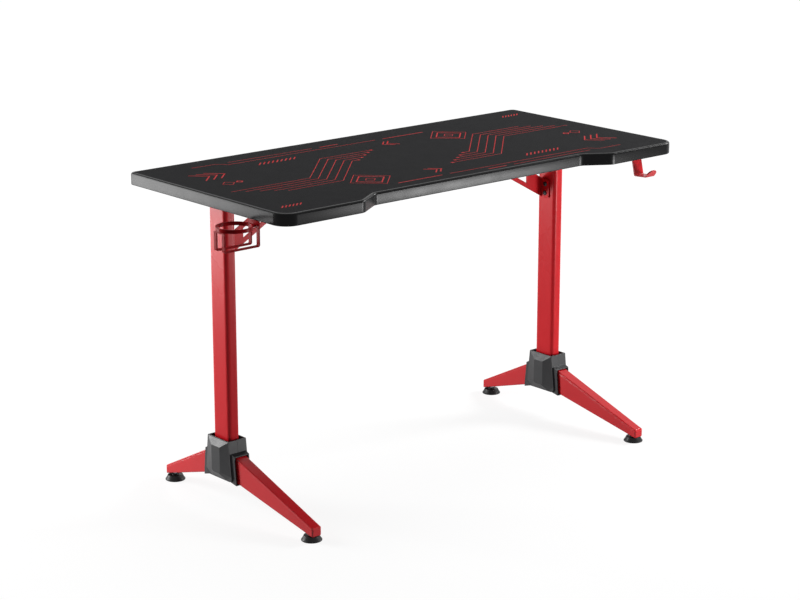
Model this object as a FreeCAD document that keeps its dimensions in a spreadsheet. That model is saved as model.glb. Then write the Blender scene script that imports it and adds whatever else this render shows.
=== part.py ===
"""Gaming desk: a shaped desktop on two T-shaped steel legs, with a cup holder and a headset hook.

Millimetres, +Z up, +X along the desktop, +Y to the back, floor at Z = 0.
The origin is on the floor, in the middle of the overall outline, cup holder included.
"""
import FreeCAD
import Part
import Sketcher
import math
import os
import re

SIZES = {
    # Desktop
    "top_width": 1200, "top_depth": 570, "top_height": 750, "board_thickness": 28,
    "front_corner": 38, "back_corner": 15,
    "recess_flat": 636, "recess_run": 62, "recess_depth": 40, "recess_round": 30,
    "edge_width": 7, "edge_round": 5, "edge_under_round": 2,
    "mat_thickness": 1.5, "mat_gap": 0.4,
    # Columns and the plates on their heads
    "leg_spread": 1023, "leg_setback": 52,
    "column_width": 30, "column_depth": 60, "column_round": 8, "column_wall": 2,
    "plate_width": 120, "plate_depth": 240, "plate_thickness": 4, "plate_round": 15,
    "plate_screw_inset": 14,
    # Knee braces
    "brace_drop": 153, "brace_reach": 250, "brace_end": 15, "brace_strut": 48, "brace_sheet": 3,
    "brace_flange": 30, "brace_back": 18, "brace_round": 7, "brace_screw_inset": 12,
    "brace_bolt_low": 12, "brace_bolt_pitch": 23,
    "window_start": 54, "window_length": 110, "window_margin": 12.6,
    # Sockets at the foot of the columns
    "hub_bottom": 69, "hub_height": 82, "hub_wall": 3, "hub_clearance": 0.2,
    "hub_bolt_low": 30, "hub_bolt_pitch": 30,
    # Feet
    "foot_root_height": 62, "foot_root_width": 31, "foot_tip_height": 21, "foot_tip_width": 26,
    "foot_tip_bottom": 12, "foot_wall": 2, "foot_round": 3, "foot_bevel": 2.5, "foot_end_round": 2,
    "front_reach": 326, "rear_reach": 228, "pad_inset": 19,
    # Levelling pads
    "pad_radius": 23.5, "pad_waist": 22.5, "pad_top_radius": 18, "pad_height": 12, "pad_rim": 2.5,
    "pad_floor": 3, "pad_neck": 3.5, "pad_neck_radius": 8.5,
    "stud_radius": 4, "stud_length": 27, "stud_clearance": 0.05,
    "nut_radius": 9, "nut_length": 12, "nut_gap": 0.3,
    # Base covers
    "cover_width": 50, "cover_depth": 78, "cover_top": 161.5, "cover_wall": 2.2, "cover_flare": 11,
    "cover_corner": 9, "cover_gap": 0.3, "seam_gap": 0.2,
    "facet_rise": 8, "facet_edge": 1.5, "facet_band": 31, "facet_head": 17, "facet_toe": 15,
    "facet_sole": 56, "facet_knee": 13, "facet_heel": 4,
    "collar_length": 22, "collar_lean": 9, "collar_side": 5.7, "collar_under": 2.5, "collar_over": 5,
    "collar_slip": 0.4,
    # Cup holder
    "cup_radius": 40.5, "cup_wall": 3, "cup_band": 8, "cup_out": 44, "cup_forward": 173, "cup_drop": 7,
    "cup_depth": 58, "cup_tab_width": 18, "cup_tab_thickness": 3, "strap_width": 37, "strap_slot": 19,
    "strap_sheet": 3, "strap_bar": 3, "strap_screw_pitch": 18, "strap_inset": 6, "strap_shelf": 43,
    "strap_round": 5,
    # Headset hook
    "hook_from_middle": 525, "hook_back": 63, "hook_width": 30, "hook_sheet": 3, "hook_drop": 53.5,
    "hook_slant": 12, "hook_floor": 38, "hook_floor_angle": 3.5, "hook_lip": 12.3, "hook_lip_angle": 52.5,
    "hook_shelf": 42, "hook_round": 5, "hook_end_round": 12, "hook_screw_pitch": 14,
    # Fasteners
    "screw_radius": 2.2, "screw_length": 20, "screw_head": 5, "screw_head_height": 3, "head_taper": 0.8,
    "shelf_screw_inset": 12, "bolt_radius": 3, "bolt_grip": 11, "bolt_head": 6, "bolt_head_height": 3.5,
    "clamp_radius": 4, "clamp_head": 7, "clamp_head_height": 5, "clamp_tail": 6.5, "cover_screw_radius": 1.8,
    "cover_screw_length": 9, "cover_screw_head": 4, "cover_screw_head_height": 2, "cover_screw_out": 9,
    "hole_clearance": 0.25,
}

# Shared places, worked out from the sizes
DESK_X = "(cup_out + cup_radius) / 2"
UNDERSIDE = "(top_height - board_thickness)"
COLUMN_FOOT = "(hub_bottom + hub_wall)"
HUB_HALF_X = "(column_width / 2 + hub_clearance + hub_wall)"
HUB_HALF_Y = "(column_depth / 2 + hub_clearance + hub_wall)"
COVER_FLOOR = "(hub_bottom - cover_gap - cover_wall)"
CUP_X = "(-top_width / 2 - cup_out)"
CUP_TOP = f"({UNDERSIDE} - cup_drop)"
CUP_STRAP_OUT = f"({CUP_X} - cup_radius)"
CUP_STRAP_IN = "(-top_width / 2 + strap_inset)"
HOOK_Y = "(-top_depth / 2 + hook_back)"
BRACE_FOOT = f"({UNDERSIDE} - brace_drop)"
BRACE_SLOPE = "((brace_drop - brace_end) / brace_reach)"
BRACE_FOLD = f"((brace_drop - brace_strut) / {BRACE_SLOPE})"
BRACE_SCREW_REACHES = ("(brace_reach - brace_screw_inset)", f"({BRACE_FOLD} + brace_screw_inset)")
BRACE_BOLT_Y = "(brace_back - brace_flange / 2 - brace_sheet / 2)"
SIDES = {"left": -1, "right": 1}
ENDS = {"front": (-1, "front_reach"), "rear": (1, "rear_reach")}

ALIAS = re.compile(r"\b(" + "|".join(SIZES) + r")\b")
AXES = {"x": FreeCAD.Vector(1, 0, 0), "y": FreeCAD.Vector(0, 1, 0), "z": FreeCAD.Vector(0, 0, 1)}

doc = FreeCAD.newDocument("Desk")
sheet = doc.addObject("Spreadsheet::Sheet", "Params")
for row, (alias, size) in enumerate(SIZES.items(), start=1):
    sheet.set(f"A{row}", alias)
    sheet.set(f"B{row}", str(size))
    sheet.setAlias(f"B{row}", alias)
doc.recompute()

nodes = []


def formula(text):
    """Write an expression on the sheet's cells from one that uses their bare aliases."""
    return ALIAS.sub(r"Params.\1", str(text))


def value(text):
    """Number that an expression on the sheet's cells gives now."""
    result = sheet.evalExpression(formula(text))
    return float(getattr(result, "Value", result))


def bind(thing, **properties):
    """Tie properties to expressions on the sheet; a double underscore stands for a dot."""
    for name, text in properties.items():
        thing.setExpression(name.replace("__", "."), formula(text))


def place(thing, x="0", y="0", z="0"):
    """Put a piece at a place measured from the middle of the desktop, on the floor."""
    bind(thing, Placement__Base__x=f"{DESK_X} + {x}", Placement__Base__y=y, Placement__Base__z=z)


def keep(thing, label):
    """Name a finished sub-part, which is written out under that name."""
    thing.Label = label
    nodes.append(thing)
    return thing


def new_body(name):
    return doc.addObject("PartDesign::Body", name)


def refresh(feature, *sketches):
    """Recompute one feature of a body, from its sketches on."""
    for thing in (*sketches, feature, feature.getParentGeoFeatureGroup()):
        thing.recompute()


def new_sketch(body, role, lift="0"):
    """Sketch on one of the body's planes, moved along +X, +Y or +Z by lift."""
    sketch = body.newObject("Sketcher::SketchObject", "Sketch")
    planes = {feature.Role: feature for feature in body.Origin.OriginFeatures}
    sketch.AttachmentSupport = [(planes[role], "")]
    sketch.MapMode = "FlatFace"
    sign = "-" if role == "XZ_Plane" else ""
    bind(sketch, AttachmentOffset__Base__z=f"{sign}({lift})")
    return sketch


def fix_size(sketch, text, kind, *places):
    """Hold a size of a sketch at an expression."""
    rule = sketch.addConstraint(Sketcher.Constraint(kind, *places, value(text)))
    sketch.setExpression(f"Constraints[{rule}]", formula(text))


def fix_point(sketch, geometry, vertex, x, y):
    """Hold a point of a sketch at two expressions, measured from the sketch's origin."""
    fix_size(sketch, x, "DistanceX", -1, 1, geometry, vertex)
    fix_size(sketch, y, "DistanceY", -1, 1, geometry, vertex)


def polygon(body, role, points, lift="0"):
    """Closed outline through corners that are given as pairs of expressions."""
    sketch = new_sketch(body, role, lift)
    corners = [FreeCAD.Vector(value(x), value(y), 0) for x, y in points]
    for start, end in zip(corners, corners[1:] + corners[:1]):
        sketch.addGeometry(Part.LineSegment(start, end))
    for index, (x, y) in enumerate(points):
        following = (index + 1) % len(points)
        sketch.addConstraint(Sketcher.Constraint("Coincident", index, 2, following, 1))
        fix_point(sketch, index, 1, x, y)
    return sketch


def rectangle(body, role, x_range, y_range, lift="0"):
    (x_low, x_high), (y_low, y_high) = x_range, y_range
    return polygon(body, role, [(x_low, y_low), (x_high, y_low), (x_high, y_high), (x_low, y_high)], lift)


def rounded_rectangle(body, role, x_range, y_range, radius, lift="0"):
    """Rectangle whose corners are quarter circles."""
    sketch = new_sketch(body, role, lift)
    (x_low, x_high), (y_low, y_high) = x_range, y_range
    left, right = f"({x_low} + {radius})", f"({x_high} - {radius})"
    bottom, top = f"({y_low} + {radius})", f"({y_high} - {radius})"
    sides = [((left, y_low), (right, y_low)), ((x_high, bottom), (x_high, top)),
             ((right, y_high), (left, y_high)), ((x_low, top), (x_low, bottom))]
    centres = [(right, bottom), (right, top), (left, top), (left, bottom)]
    for turn, (ends, centre) in enumerate(zip(sides, centres)):
        start, end, middle = [FreeCAD.Vector(value(x), value(y), 0) for x, y in (*ends, centre)]
        sketch.addGeometry(Part.LineSegment(start, end))
        circle = Part.Circle(middle, AXES["z"], value(radius))
        sketch.addGeometry(Part.ArcOfCircle(circle, math.pi / 2 * (turn - 1), math.pi / 2 * turn))
        for vertex, (x, y) in enumerate(ends, start=1):
            fix_point(sketch, 2 * turn, vertex, x, y)
    for turn, (x, _) in enumerate(centres):
        line, arc = 2 * turn, 2 * turn + 1
        sketch.addConstraint(Sketcher.Constraint("Coincident", line, 2, arc, 1))
        sketch.addConstraint(Sketcher.Constraint("Coincident", arc, 2, (line + 2) % 8, 1))
        fix_size(sketch, x, "DistanceX", -1, 1, arc, 3)
    return sketch


def circles(body, role, centres, radius, lift="0"):
    """Circles of one radius in a sketch."""
    sketch = new_sketch(body, role, lift)
    for index, (x, y) in enumerate(centres):
        sketch.addGeometry(Part.Circle(FreeCAD.Vector(value(x), value(y), 0), AXES["z"], value(radius)))
        fix_point(sketch, index, 3, x, y)
        fix_size(sketch, radius, "Radius", index)
    return sketch


def pad(body, sketch, length, both_ways=False, backwards=False):
    feature = body.newObject("PartDesign::Pad", "Pad")
    feature.Profile = sketch
    feature.SideType = "Symmetric" if both_ways else "One side"
    feature.Reversed = backwards
    bind(feature, Length=length)
    refresh(feature, sketch)
    return feature


def pocket(body, sketch, length=None, both_ways=False, backwards=False):
    """Cut a sketch into the body; without a length it goes right through."""
    before = body.Shape.Volume
    feature = body.newObject("PartDesign::Pocket", "Pocket")
    feature.Profile = sketch
    feature.SideType = "Symmetric" if both_ways else "One side"
    feature.Reversed = backwards
    if length is None:
        feature.Type = "ThroughAll"
    else:
        bind(feature, Length=length)
    refresh(feature, sketch)
    if body.Shape.Volume >= before:
        raise RuntimeError(f"A pocket in {body.Name} cuts nothing")
    return feature


def loft(body, first, *others, kind="Additive"):
    """Straight-sided solid through sketches, added to the body or taken from it."""
    feature = body.newObject(f"PartDesign::{kind}Loft", f"{kind}Loft")
    feature.Profile = first
    feature.Sections = list(others)
    feature.Ruled = True
    refresh(feature, first, *others)
    return feature


def fillet(body, radius, chosen):
    """Round the body's edges for which chosen(edge) is true."""
    base = body.Tip
    names = [f"Edge{index}" for index, edge in enumerate(base.Shape.Edges, start=1) if chosen(edge)]
    if not names:
        raise RuntimeError(f"A fillet in {body.Name} finds no edge")
    feature = body.newObject("PartDesign::Fillet", "Fillet")
    feature.Base = (base, names)
    bind(feature, Radius=radius)
    refresh(feature)
    return feature


def along(edge, axis):
    """True for a straight edge parallel to an axis."""
    if not isinstance(edge.Curve, Part.Line):
        return False
    return abs(edge.tangentAt(edge.FirstParameter).dot(AXES[axis])) > 0.9999


def edge_at(axis, spots):
    """Chooser of edges parallel to an axis that pass through given places on the other two axes."""
    others = [name for name in "xyz" if name != axis]
    targets = [[value(text) for text in spot] for spot in spots]

    def chosen(edge):
        if not along(edge, axis):
            return False
        middle = edge.CenterOfMass
        spot = [getattr(middle, name) for name in others]
        return any(max(abs(a - b) for a, b in zip(spot, target)) < 1e-3 for target in targets)

    return chosen


def at_level(height):
    """Chooser of edges that lie flat at a height."""
    def chosen(edge):
        return max(abs(edge.BoundBox.ZMin - height), abs(edge.BoundBox.ZMax - height)) < 1e-3

    return chosen


def solid(kind, name, turn=None, at=("0", "0", "0"), **sizes):
    """Primitive solid at a place measured from the middle of the desktop, its axis turned to a direction."""
    thing = doc.addObject(f"Part::{kind}", name)
    if turn is not None:
        thing.Placement = FreeCAD.Placement(FreeCAD.Vector(), FreeCAD.Rotation(AXES["z"], turn))
    bind(thing, **sizes)
    place(thing, *at)
    return thing


def fuse(name, base, tool):
    thing = doc.addObject("Part::Fuse", name)
    thing.Base, thing.Tool = base, tool
    return thing


def cut(name, base, tool):
    thing = doc.addObject("Part::Cut", name)
    thing.Base, thing.Tool = base, tool
    return thing


def group(label, pieces):
    """Separate like pieces that are one sub-part."""
    thing = doc.addObject("Part::Compound", "Group")
    thing.Links = pieces
    return keep(thing, label)


def screw(seat, direction, head, head_height, shank, length):
    """Screw whose head lies on its seat and whose shank goes along +X, -X or +Z."""
    axis, sign = direction
    head_at = list(seat)
    index = "xyz".index(axis)
    head_at[index] = f"{seat[index]} - ({sign}) * {head_height}"
    turn = AXES[axis] * sign
    crown = f"head_taper * {head}"
    top = solid("Cone", "Head", turn, head_at, Radius1=crown, Radius2=head, Height=head_height)
    rod = solid("Cylinder", "Shank", turn, seat, Radius=shank, Height=length)
    return fuse("Screw", top, rod)


def wood_screws(label, seats):
    sizes = ("screw_head", "screw_head_height", "screw_radius", "screw_length")
    return group(label, [screw(seat, ("z", 1), *sizes) for seat in seats])


# Desktop
def desktop_slab(name, inset, bottom, height):
    """Slab with the desktop's outline drawn in by an inset, its upright corners rounded."""
    body = new_body(name)
    lean = f"({inset}) * tan(atan(recess_depth / recess_run) / 2)"
    half, back = f"(top_width / 2 - ({inset}))", f"(top_depth / 2 - ({inset}))"
    front = f"(-top_depth / 2 + ({inset}))"
    deep = f"({front} + recess_depth)"
    shallow_x, deep_x = f"(recess_flat / 2 + recess_run + {lean})", f"(recess_flat / 2 + {lean})"
    right = [(deep_x, deep), (shallow_x, front), (half, front), (half, back)]
    left = [(f"-{x}", y) for x, y in reversed(right)]
    pad(body, polygon(body, "XY_Plane", right + left, bottom), height)
    rounds = [
        ("front_corner - ({0})", half, front), ("back_corner - ({0})", half, back),
        ("recess_round - ({0})", shallow_x, front), ("recess_round + ({0})", deep_x, deep),
    ]
    for radius, x, y in rounds:
        fillet(body, radius.format(inset), edge_at("z", [(x, y), (f"-{x}", y)]))
    place(body)
    return body


def screw_seats():
    """Places of the wood screws under the desktop, by the piece that they hold."""
    seats = {}
    shelf_y = "leg_setback + brace_back - brace_flange / 2"
    for name, side in SIDES.items():
        leg_x = f"({side} * leg_spread / 2)"
        seats[f"plate_screws_{name}"] = [
            (f"{leg_x} + {i} * (plate_width / 2 - plate_screw_inset)",
             f"leg_setback + {j} * (plate_depth / 2 - plate_screw_inset)",
             f"{UNDERSIDE} - plate_thickness")
            for i in (-1, 1) for j in (-1, 1)]
        seats[f"brace_screws_{name}"] = [
            (f"{leg_x} - {side} * (column_width / 2 + {distance})", shelf_y, f"{UNDERSIDE} - brace_sheet")
            for distance in BRACE_SCREW_REACHES]
    seats["cup_screws"] = [
        (f"{CUP_STRAP_IN} + strap_shelf - shelf_screw_inset", f"-cup_forward + {j} * strap_screw_pitch / 2",
         f"{UNDERSIDE} - strap_sheet") for j in (-1, 1)]
    seats["hook_screws"] = [
        (f"hook_from_middle + {i} * hook_screw_pitch / 2", f"{HOOK_Y} + hook_shelf - shelf_screw_inset",
         f"{UNDERSIDE} - hook_sheet") for i in (-1, 1)]
    return seats


def desktop(seats):
    core_height = "board_thickness - mat_thickness"
    core = desktop_slab("Core", "edge_width", UNDERSIDE, core_height)
    holes = [(x, y) for places in seats.values() for x, y, _ in places]
    pilots = circles(core, "XY_Plane", holes, "screw_radius + hole_clearance", UNDERSIDE)
    pocket(core, pilots, "screw_length", backwards=True)
    keep(core, "desktop_core")

    rim = desktop_slab("Rim", "0", UNDERSIDE, "board_thickness")
    levels = {"edge_round": "top_height", "edge_under_round": UNDERSIDE}
    for radius, level in levels.items():
        fillet(rim, radius, at_level(value(level)))
    inside = desktop_slab("Inside", "edge_width", UNDERSIDE, "board_thickness")
    keep(cut("Edge", rim, inside), "desktop_edge")

    mat = desktop_slab("Mat", "edge_width + mat_gap", f"{UNDERSIDE} + {core_height}", "mat_thickness")
    keep(mat, "desktop_mat")


# Legs
def block(name, wide, deep, bottom, height, radius, bore=None):
    """Upright block on its axis with rounded corners; a bore goes from its floor up through the top."""
    body = new_body(name)

    def spread(sizes):
        return [(f"-({size}) / 2", f"({size}) / 2") for size in sizes]

    def corners(sizes):
        across, lengthwise = spread(sizes)
        return edge_at("z", [(x, y) for x in across for y in lengthwise])

    pad(body, rectangle(body, "XY_Plane", *spread((wide, deep)), bottom), height)
    if bore is not None:
        bore_wide, bore_deep, bore_floor, bore_radius = bore
        pocket(body, rectangle(body, "XY_Plane", *spread((bore_wide, bore_deep)), bore_floor), backwards=True)
        fillet(body, bore_radius, corners((bore_wide, bore_deep)))
    fillet(body, radius, corners((wide, deep)))
    return body


def bolt_levels(low, pitch):
    return [f"({low})", f"({low} + {pitch})"]


BRACE_BOLT_LEVELS = bolt_levels(f"{BRACE_FOOT} + brace_bolt_low", "brace_bolt_pitch")
CLAMP_LEVELS = bolt_levels("hub_bottom + hub_bolt_low", "hub_bolt_pitch")


def column(name, side, leg_x):
    height = f"{UNDERSIDE} - plate_thickness - {COLUMN_FOOT}"
    inner = [f"{size} - 2 * column_wall" for size in ("column_width", "column_depth")]
    bore = (*inner, COLUMN_FOOT, "column_round - column_wall")
    body = block("Column", "column_width", "column_depth", COLUMN_FOOT, height, "column_round", bore)
    clamps = [("0", level) for level in CLAMP_LEVELS]
    pocket(body, circles(body, "YZ_Plane", clamps, "clamp_radius + hole_clearance"), both_ways=True)
    bolts = [(BRACE_BOLT_Y, level) for level in BRACE_BOLT_LEVELS]
    holes = circles(body, "YZ_Plane", bolts, "bolt_radius + hole_clearance")
    pocket(body, holes, "column_width", backwards=side < 0)
    place(body, leg_x, "leg_setback")
    keep(body, f"column_{name}")


def head_plate(name, leg_x):
    """Plate that carries the desktop on the head of a column."""
    bottom = f"{UNDERSIDE} - plate_thickness"
    body = block("Plate", "plate_width", "plate_depth", bottom, "plate_thickness", "plate_round")
    spots = [(f"{i} * (plate_width / 2 - plate_screw_inset)", f"{j} * (plate_depth / 2 - plate_screw_inset)")
             for i in (-1, 1) for j in (-1, 1)]
    pocket(body, circles(body, "XY_Plane", spots, "screw_radius + hole_clearance"), both_ways=True)
    place(body, leg_x, "leg_setback")
    keep(body, f"head_plate_{name}")


def brace(name, side, leg_x):
    """Folded sheet: a slanted web, a flange on the column's inner face and a shelf under the desktop."""
    body = new_body("Brace")
    low, high = BRACE_FOOT, f"({BRACE_FOOT} + brace_strut)"

    def inward(distance):
        return f"({-side} * (column_width / 2 + {distance}))"

    web = [
        (inward("0"), low), (inward("brace_reach"), f"{UNDERSIDE} - brace_end"),
        (inward("brace_reach"), UNDERSIDE), (inward(BRACE_FOLD), UNDERSIDE), (inward("0"), high),
    ]
    pad(body, polygon(body, "XZ_Plane", web, "brace_back"), "brace_sheet")
    front = "(brace_back - brace_flange)"
    flange = rectangle(body, "YZ_Plane", (front, "brace_back"), (low, high), inward("0"))
    pad(body, flange, "brace_sheet", backwards=side > 0)
    fillet(body, "brace_round", edge_at("x", [(front, low), (front, high)]))
    shelf_x = (inward("brace_reach"), inward(BRACE_FOLD))
    shelf = rectangle(body, "XY_Plane", shelf_x, (front, "brace_back"), f"{UNDERSIDE} - brace_sheet")
    pad(body, shelf, "brace_sheet")
    start, end = "window_start", "(window_start + window_length)"
    margin = "window_margin"
    window = [(inward(at), f"{low} + {BRACE_SLOPE} * {at} + {rise}")
              for at, rise in ((start, margin), (end, margin), (end, f"brace_strut - {margin}"),
                               (start, f"brace_strut - {margin}"))]
    pocket(body, polygon(body, "XZ_Plane", window), both_ways=True)
    bolts = [(BRACE_BOLT_Y, level) for level in BRACE_BOLT_LEVELS]
    pocket(body, circles(body, "YZ_Plane", bolts, "bolt_radius + hole_clearance"), both_ways=True)
    spots = [(inward(distance), "brace_back - brace_flange / 2") for distance in BRACE_SCREW_REACHES]
    pocket(body, circles(body, "XY_Plane", spots, "screw_radius + hole_clearance"), both_ways=True)
    place(body, leg_x, "leg_setback")
    keep(body, f"brace_{name}")


def brace_bolts(name, side, leg_x):
    seat_x = f"{leg_x} - {side} * (column_width / 2 + brace_sheet)"
    sizes = ("bolt_head", "bolt_head_height", "bolt_radius", "bolt_grip")
    group(f"brace_bolts_{name}", [
        screw((seat_x, f"leg_setback + {BRACE_BOLT_Y}", level), ("x", side), *sizes)
        for level in BRACE_BOLT_LEVELS])


def hub(name, leg_x):
    """Socket with a floor that the column stands on."""
    outer = [f"2 * {half}" for half in (HUB_HALF_X, HUB_HALF_Y)]
    inner = [f"{size} + 2 * hub_clearance" for size in ("column_width", "column_depth")]
    bore_round = "column_round + hub_clearance"
    bore = (*inner, COLUMN_FOOT, bore_round)
    body = block("Hub", *outer, "hub_bottom", "hub_height", f"{bore_round} + hub_wall", bore)
    clamps = [("0", level) for level in CLAMP_LEVELS]
    pocket(body, circles(body, "YZ_Plane", clamps, "clamp_radius + hole_clearance"), both_ways=True)
    spots = [(f"{side} * cover_screw_out", "0") for side in (-1, 1)]
    holes = circles(body, "XY_Plane", spots, "cover_screw_radius + hole_clearance", "hub_bottom")
    pocket(body, holes, "hub_wall", backwards=True)
    place(body, leg_x, "leg_setback")
    keep(body, f"hub_{name}")


def hub_clamps(name, side, leg_x):
    """Bolts right through the socket and the column, heads outside, nuts on the inner side."""
    pieces = []
    length = f"2 * {HUB_HALF_X} + clamp_tail"
    for level in CLAMP_LEVELS:
        head_x = f"{leg_x} + {side} * {HUB_HALF_X}"
        nut_x = f"{leg_x} - {side} * {HUB_HALF_X}"
        head = solid("Prism", "Head", AXES["x"] * side, (head_x, "leg_setback", level),
                     Circumradius="clamp_head", Height="clamp_head_height")
        rod = solid("Cylinder", "Rod", AXES["x"] * -side, (head_x, "leg_setback", level),
                    Radius="clamp_radius", Height=length)
        blank = solid("Prism", "Blank", AXES["x"] * -side, (nut_x, "leg_setback", level),
                      Circumradius="clamp_head", Height="clamp_head_height")
        bore = solid("Cylinder", "Bore", AXES["x"] * -side, (nut_x, "leg_setback", level),
                     Radius="clamp_radius + stud_clearance", Height="clamp_tail")
        pieces += [fuse("Clamp", head, rod), cut("ClampNut", blank, bore)]
    group(f"hub_clamps_{name}", pieces)


def foot_section(end, at, sides="0", under=None, over=None):
    """Upright section of a foot, at a distance from the column's axis, widened by margins."""
    under, over = under or sides, over or sides
    sign, reach = ENDS[end]
    share = f"((({at}) - {HUB_HALF_Y}) / ({reach} - {HUB_HALF_Y}))"
    half = f"((foot_root_width + (foot_tip_width - foot_root_width) * {share}) / 2 + ({sides}))"
    low = f"(hub_bottom + (foot_tip_bottom - hub_bottom) * {share})"
    tall = f"(foot_root_height + (foot_tip_height - foot_root_height) * {share})"
    return (f"-{half}", half), (f"({low} - ({under}))", f"({low} + {tall} + ({over}))"), f"{sign} * ({at})"


def nut_level(end):
    """Height of the nut's lower face, just inside the foot's underside."""
    z_range = foot_section(end, f"{ENDS[end][1]} - pad_inset")[1]
    return f"({z_range[0]} + nut_gap)"


def foot(name, end, leg_x):
    """Hollow tapered foot, open towards the socket, with a hole for the nut of its pad."""
    sign, reach = ENDS[end]
    body = new_body("Foot")

    def section(grow, at, radius="foot_round"):
        x_range, z_range, lift = foot_section(end, at, grow)
        return rounded_rectangle(body, "XZ_Plane", x_range, z_range, radius, lift)

    bevel = f"({reach} - foot_bevel)"
    loft(body, section("0", HUB_HALF_Y), section("0", bevel), section("-foot_bevel", reach, "foot_end_round"))
    bore_round = "foot_round - foot_wall"
    loft(body, section("-foot_wall", HUB_HALF_Y, bore_round), section("-foot_wall", bevel, bore_round),
         kind="Subtractive")
    spot = [("0", f"{sign} * ({reach} - pad_inset)")]
    hole = circles(body, "XY_Plane", spot, "nut_radius")
    pocket(body, hole, f"{nut_level(end)} + nut_length", backwards=True)
    place(body, leg_x, "leg_setback")
    keep(body, f"foot_{end}_{name}")


def leveller(name, end, leg_x):
    """Nut in the foot, threaded stud and conical floor pad, all on one upright axis."""
    sign, reach = ENDS[end]
    at = (leg_x, f"leg_setback + {sign} * ({reach} - pad_inset)")
    bore = "stud_radius + stud_clearance"
    nut_low = nut_level(end)
    blank = solid("Cylinder", "NutBlank", at=(*at, nut_low), Radius="nut_radius", Height="nut_length")
    thread = solid("Cylinder", "NutBore", at=(*at, nut_low), Radius=bore, Height="nut_length")
    keep(cut("Nut", blank, thread), f"nut_{end}_{name}")
    stud = solid("Cylinder", "Stud", at=(*at, "pad_floor"), Radius="stud_radius", Height="stud_length")
    keep(stud, f"stud_{end}_{name}")
    rim = solid("Cylinder", "PadRim", at=(*at, "0"), Radius="pad_radius", Height="pad_rim")
    cone = solid("Cone", "PadCone", at=(*at, "pad_rim"), Radius1="pad_waist", Radius2="pad_top_radius",
                 Height="pad_height - pad_rim")
    neck = solid("Cylinder", "PadNeck", at=(*at, "pad_height"), Radius="pad_neck_radius", Height="pad_neck")
    well = solid("Cylinder", "PadSocket", at=(*at, "pad_floor"), Radius=bore, Height="pad_height + pad_neck")
    blank = fuse("PadBlank", fuse("PadBody", rim, cone), neck)
    keep(cut("Pad", blank, well), f"pad_{end}_{name}")


def cover_half(name, leg_name, side, leg_x):
    """Moulded half shell: flared faceted side, open top and half a leaning collar round each foot."""
    body = new_body("Cover")
    seam = f"({side} * seam_gap / 2)"
    flank = f"({side} * cover_width / 2)"
    thick = "((cover_width - seam_gap) / 2)"
    low, top, wall = COVER_FLOOR, "cover_top", "cover_wall"

    def depth(level, inset):
        """Half depth of the flared shell at a level, drawn in by an inset."""
        return f"(cover_depth / 2 + cover_flare * (cover_top - ({level})) / (cover_top - {low}) - ({inset}))"

    def mirrored(right):
        """Outline from its right half, which is given from the bottom up."""
        return right + [(f"-{y}", z) for y, z in reversed(right)]

    shell = mirrored([(depth(low, "0"), low), (depth(top, "0"), top)])
    pad(body, polygon(body, "YZ_Plane", shell, seam), thick, backwards=side < 0)
    corner = depth(low, "0")
    fillet(body, "cover_corner", edge_at("x", [(corner, low), (f"-{corner}", low)]))

    def panel(inset, at):
        """Foot and crown of the raised side panel, drawn in by an inset."""
        edge, half = f"(facet_edge + ({inset}))", f"(({inset}) / 2)"
        knee, head = f"({low} + facet_knee)", f"({top} - {edge})"
        foot_line = [(f"(facet_sole / 2 - {half})", f"({low} + {edge})"), (depth(knee, edge), knee),
                     (depth(head, edge), head)]
        band, toe = f"(facet_band / 2 - {half})", f"({low} + facet_toe + {half})"
        crown_line = [(f"({band} - facet_heel)", toe), (band, f"({toe} + facet_heel)"),
                      (band, f"({top} - facet_head - {half})")]
        crown_at = f"({at} + {side} * facet_rise)"
        return (polygon(body, "YZ_Plane", mirrored(foot_line), at),
                polygon(body, "YZ_Plane", mirrored(crown_line), crown_at))

    loft(body, *panel("0", flank))
    collar_root, collar_end = f"(cover_depth / 2 - {wall})", "(cover_depth / 2 + collar_length)"

    def sleeve(end, first, last, margins):
        """Half of a sleeve round a foot, between two distances from the column's axis."""
        sections = []
        for at in (first, last):
            x_range, z_range, lift = foot_section(end, at, *margins)
            outer = x_range[1] if side > 0 else x_range[0]
            sections.append(rectangle(body, "XZ_Plane", (seam, outer), z_range, lift))
        return sections

    mouth = f"({collar_end} + {wall})"
    outside = ("collar_side", "collar_under", "collar_over")
    inside = (f"collar_side - {wall}", "collar_slip", f"collar_over - {wall}")
    for end in ENDS:
        loft(body, *sleeve(end, collar_root, mouth, outside))
    bay = mirrored([(depth(f"{low} + {wall}", wall), f"({low} + {wall})"), (depth(top, wall), f"({top})")])
    pocket(body, polygon(body, "YZ_Plane", bay, seam), f"{thick} - {wall}", backwards=side > 0)
    loft(body, *panel(wall, f"({flank} - {side} * {wall})"), kind="Subtractive")
    for end, (sign, _) in ENDS.items():
        loft(body, *sleeve(end, HUB_HALF_Y, f"({mouth} + {wall})", inside), kind="Subtractive")
        lean = [(f"{sign} * {collar_end}", low), (f"{sign} * ({collar_end} - collar_lean)", top),
                (f"{sign} * 2 * {collar_end}", top), (f"{sign} * 2 * {collar_end}", f"{low} / 2"),
                (f"{sign} * {collar_end}", f"{low} / 2")]
        pocket(body, polygon(body, "YZ_Plane", lean), both_ways=True)
    spot = [(f"{side} * cover_screw_out", "0")]
    hole = circles(body, "XY_Plane", spot, "cover_screw_radius + hole_clearance", low)
    pocket(body, hole, wall, backwards=True)
    place(body, leg_x, "leg_setback")
    keep(body, f"cover_{name}_{leg_name}")


def cover_screws(name, leg_x):
    sizes = ("cover_screw_head", "cover_screw_head_height", "cover_screw_radius", "cover_screw_length")
    group(f"cover_screws_{name}", [
        screw((f"{leg_x} + {side} * cover_screw_out", "leg_setback", COVER_FLOOR), ("z", 1), *sizes)
        for side in (-1, 1)])


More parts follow.
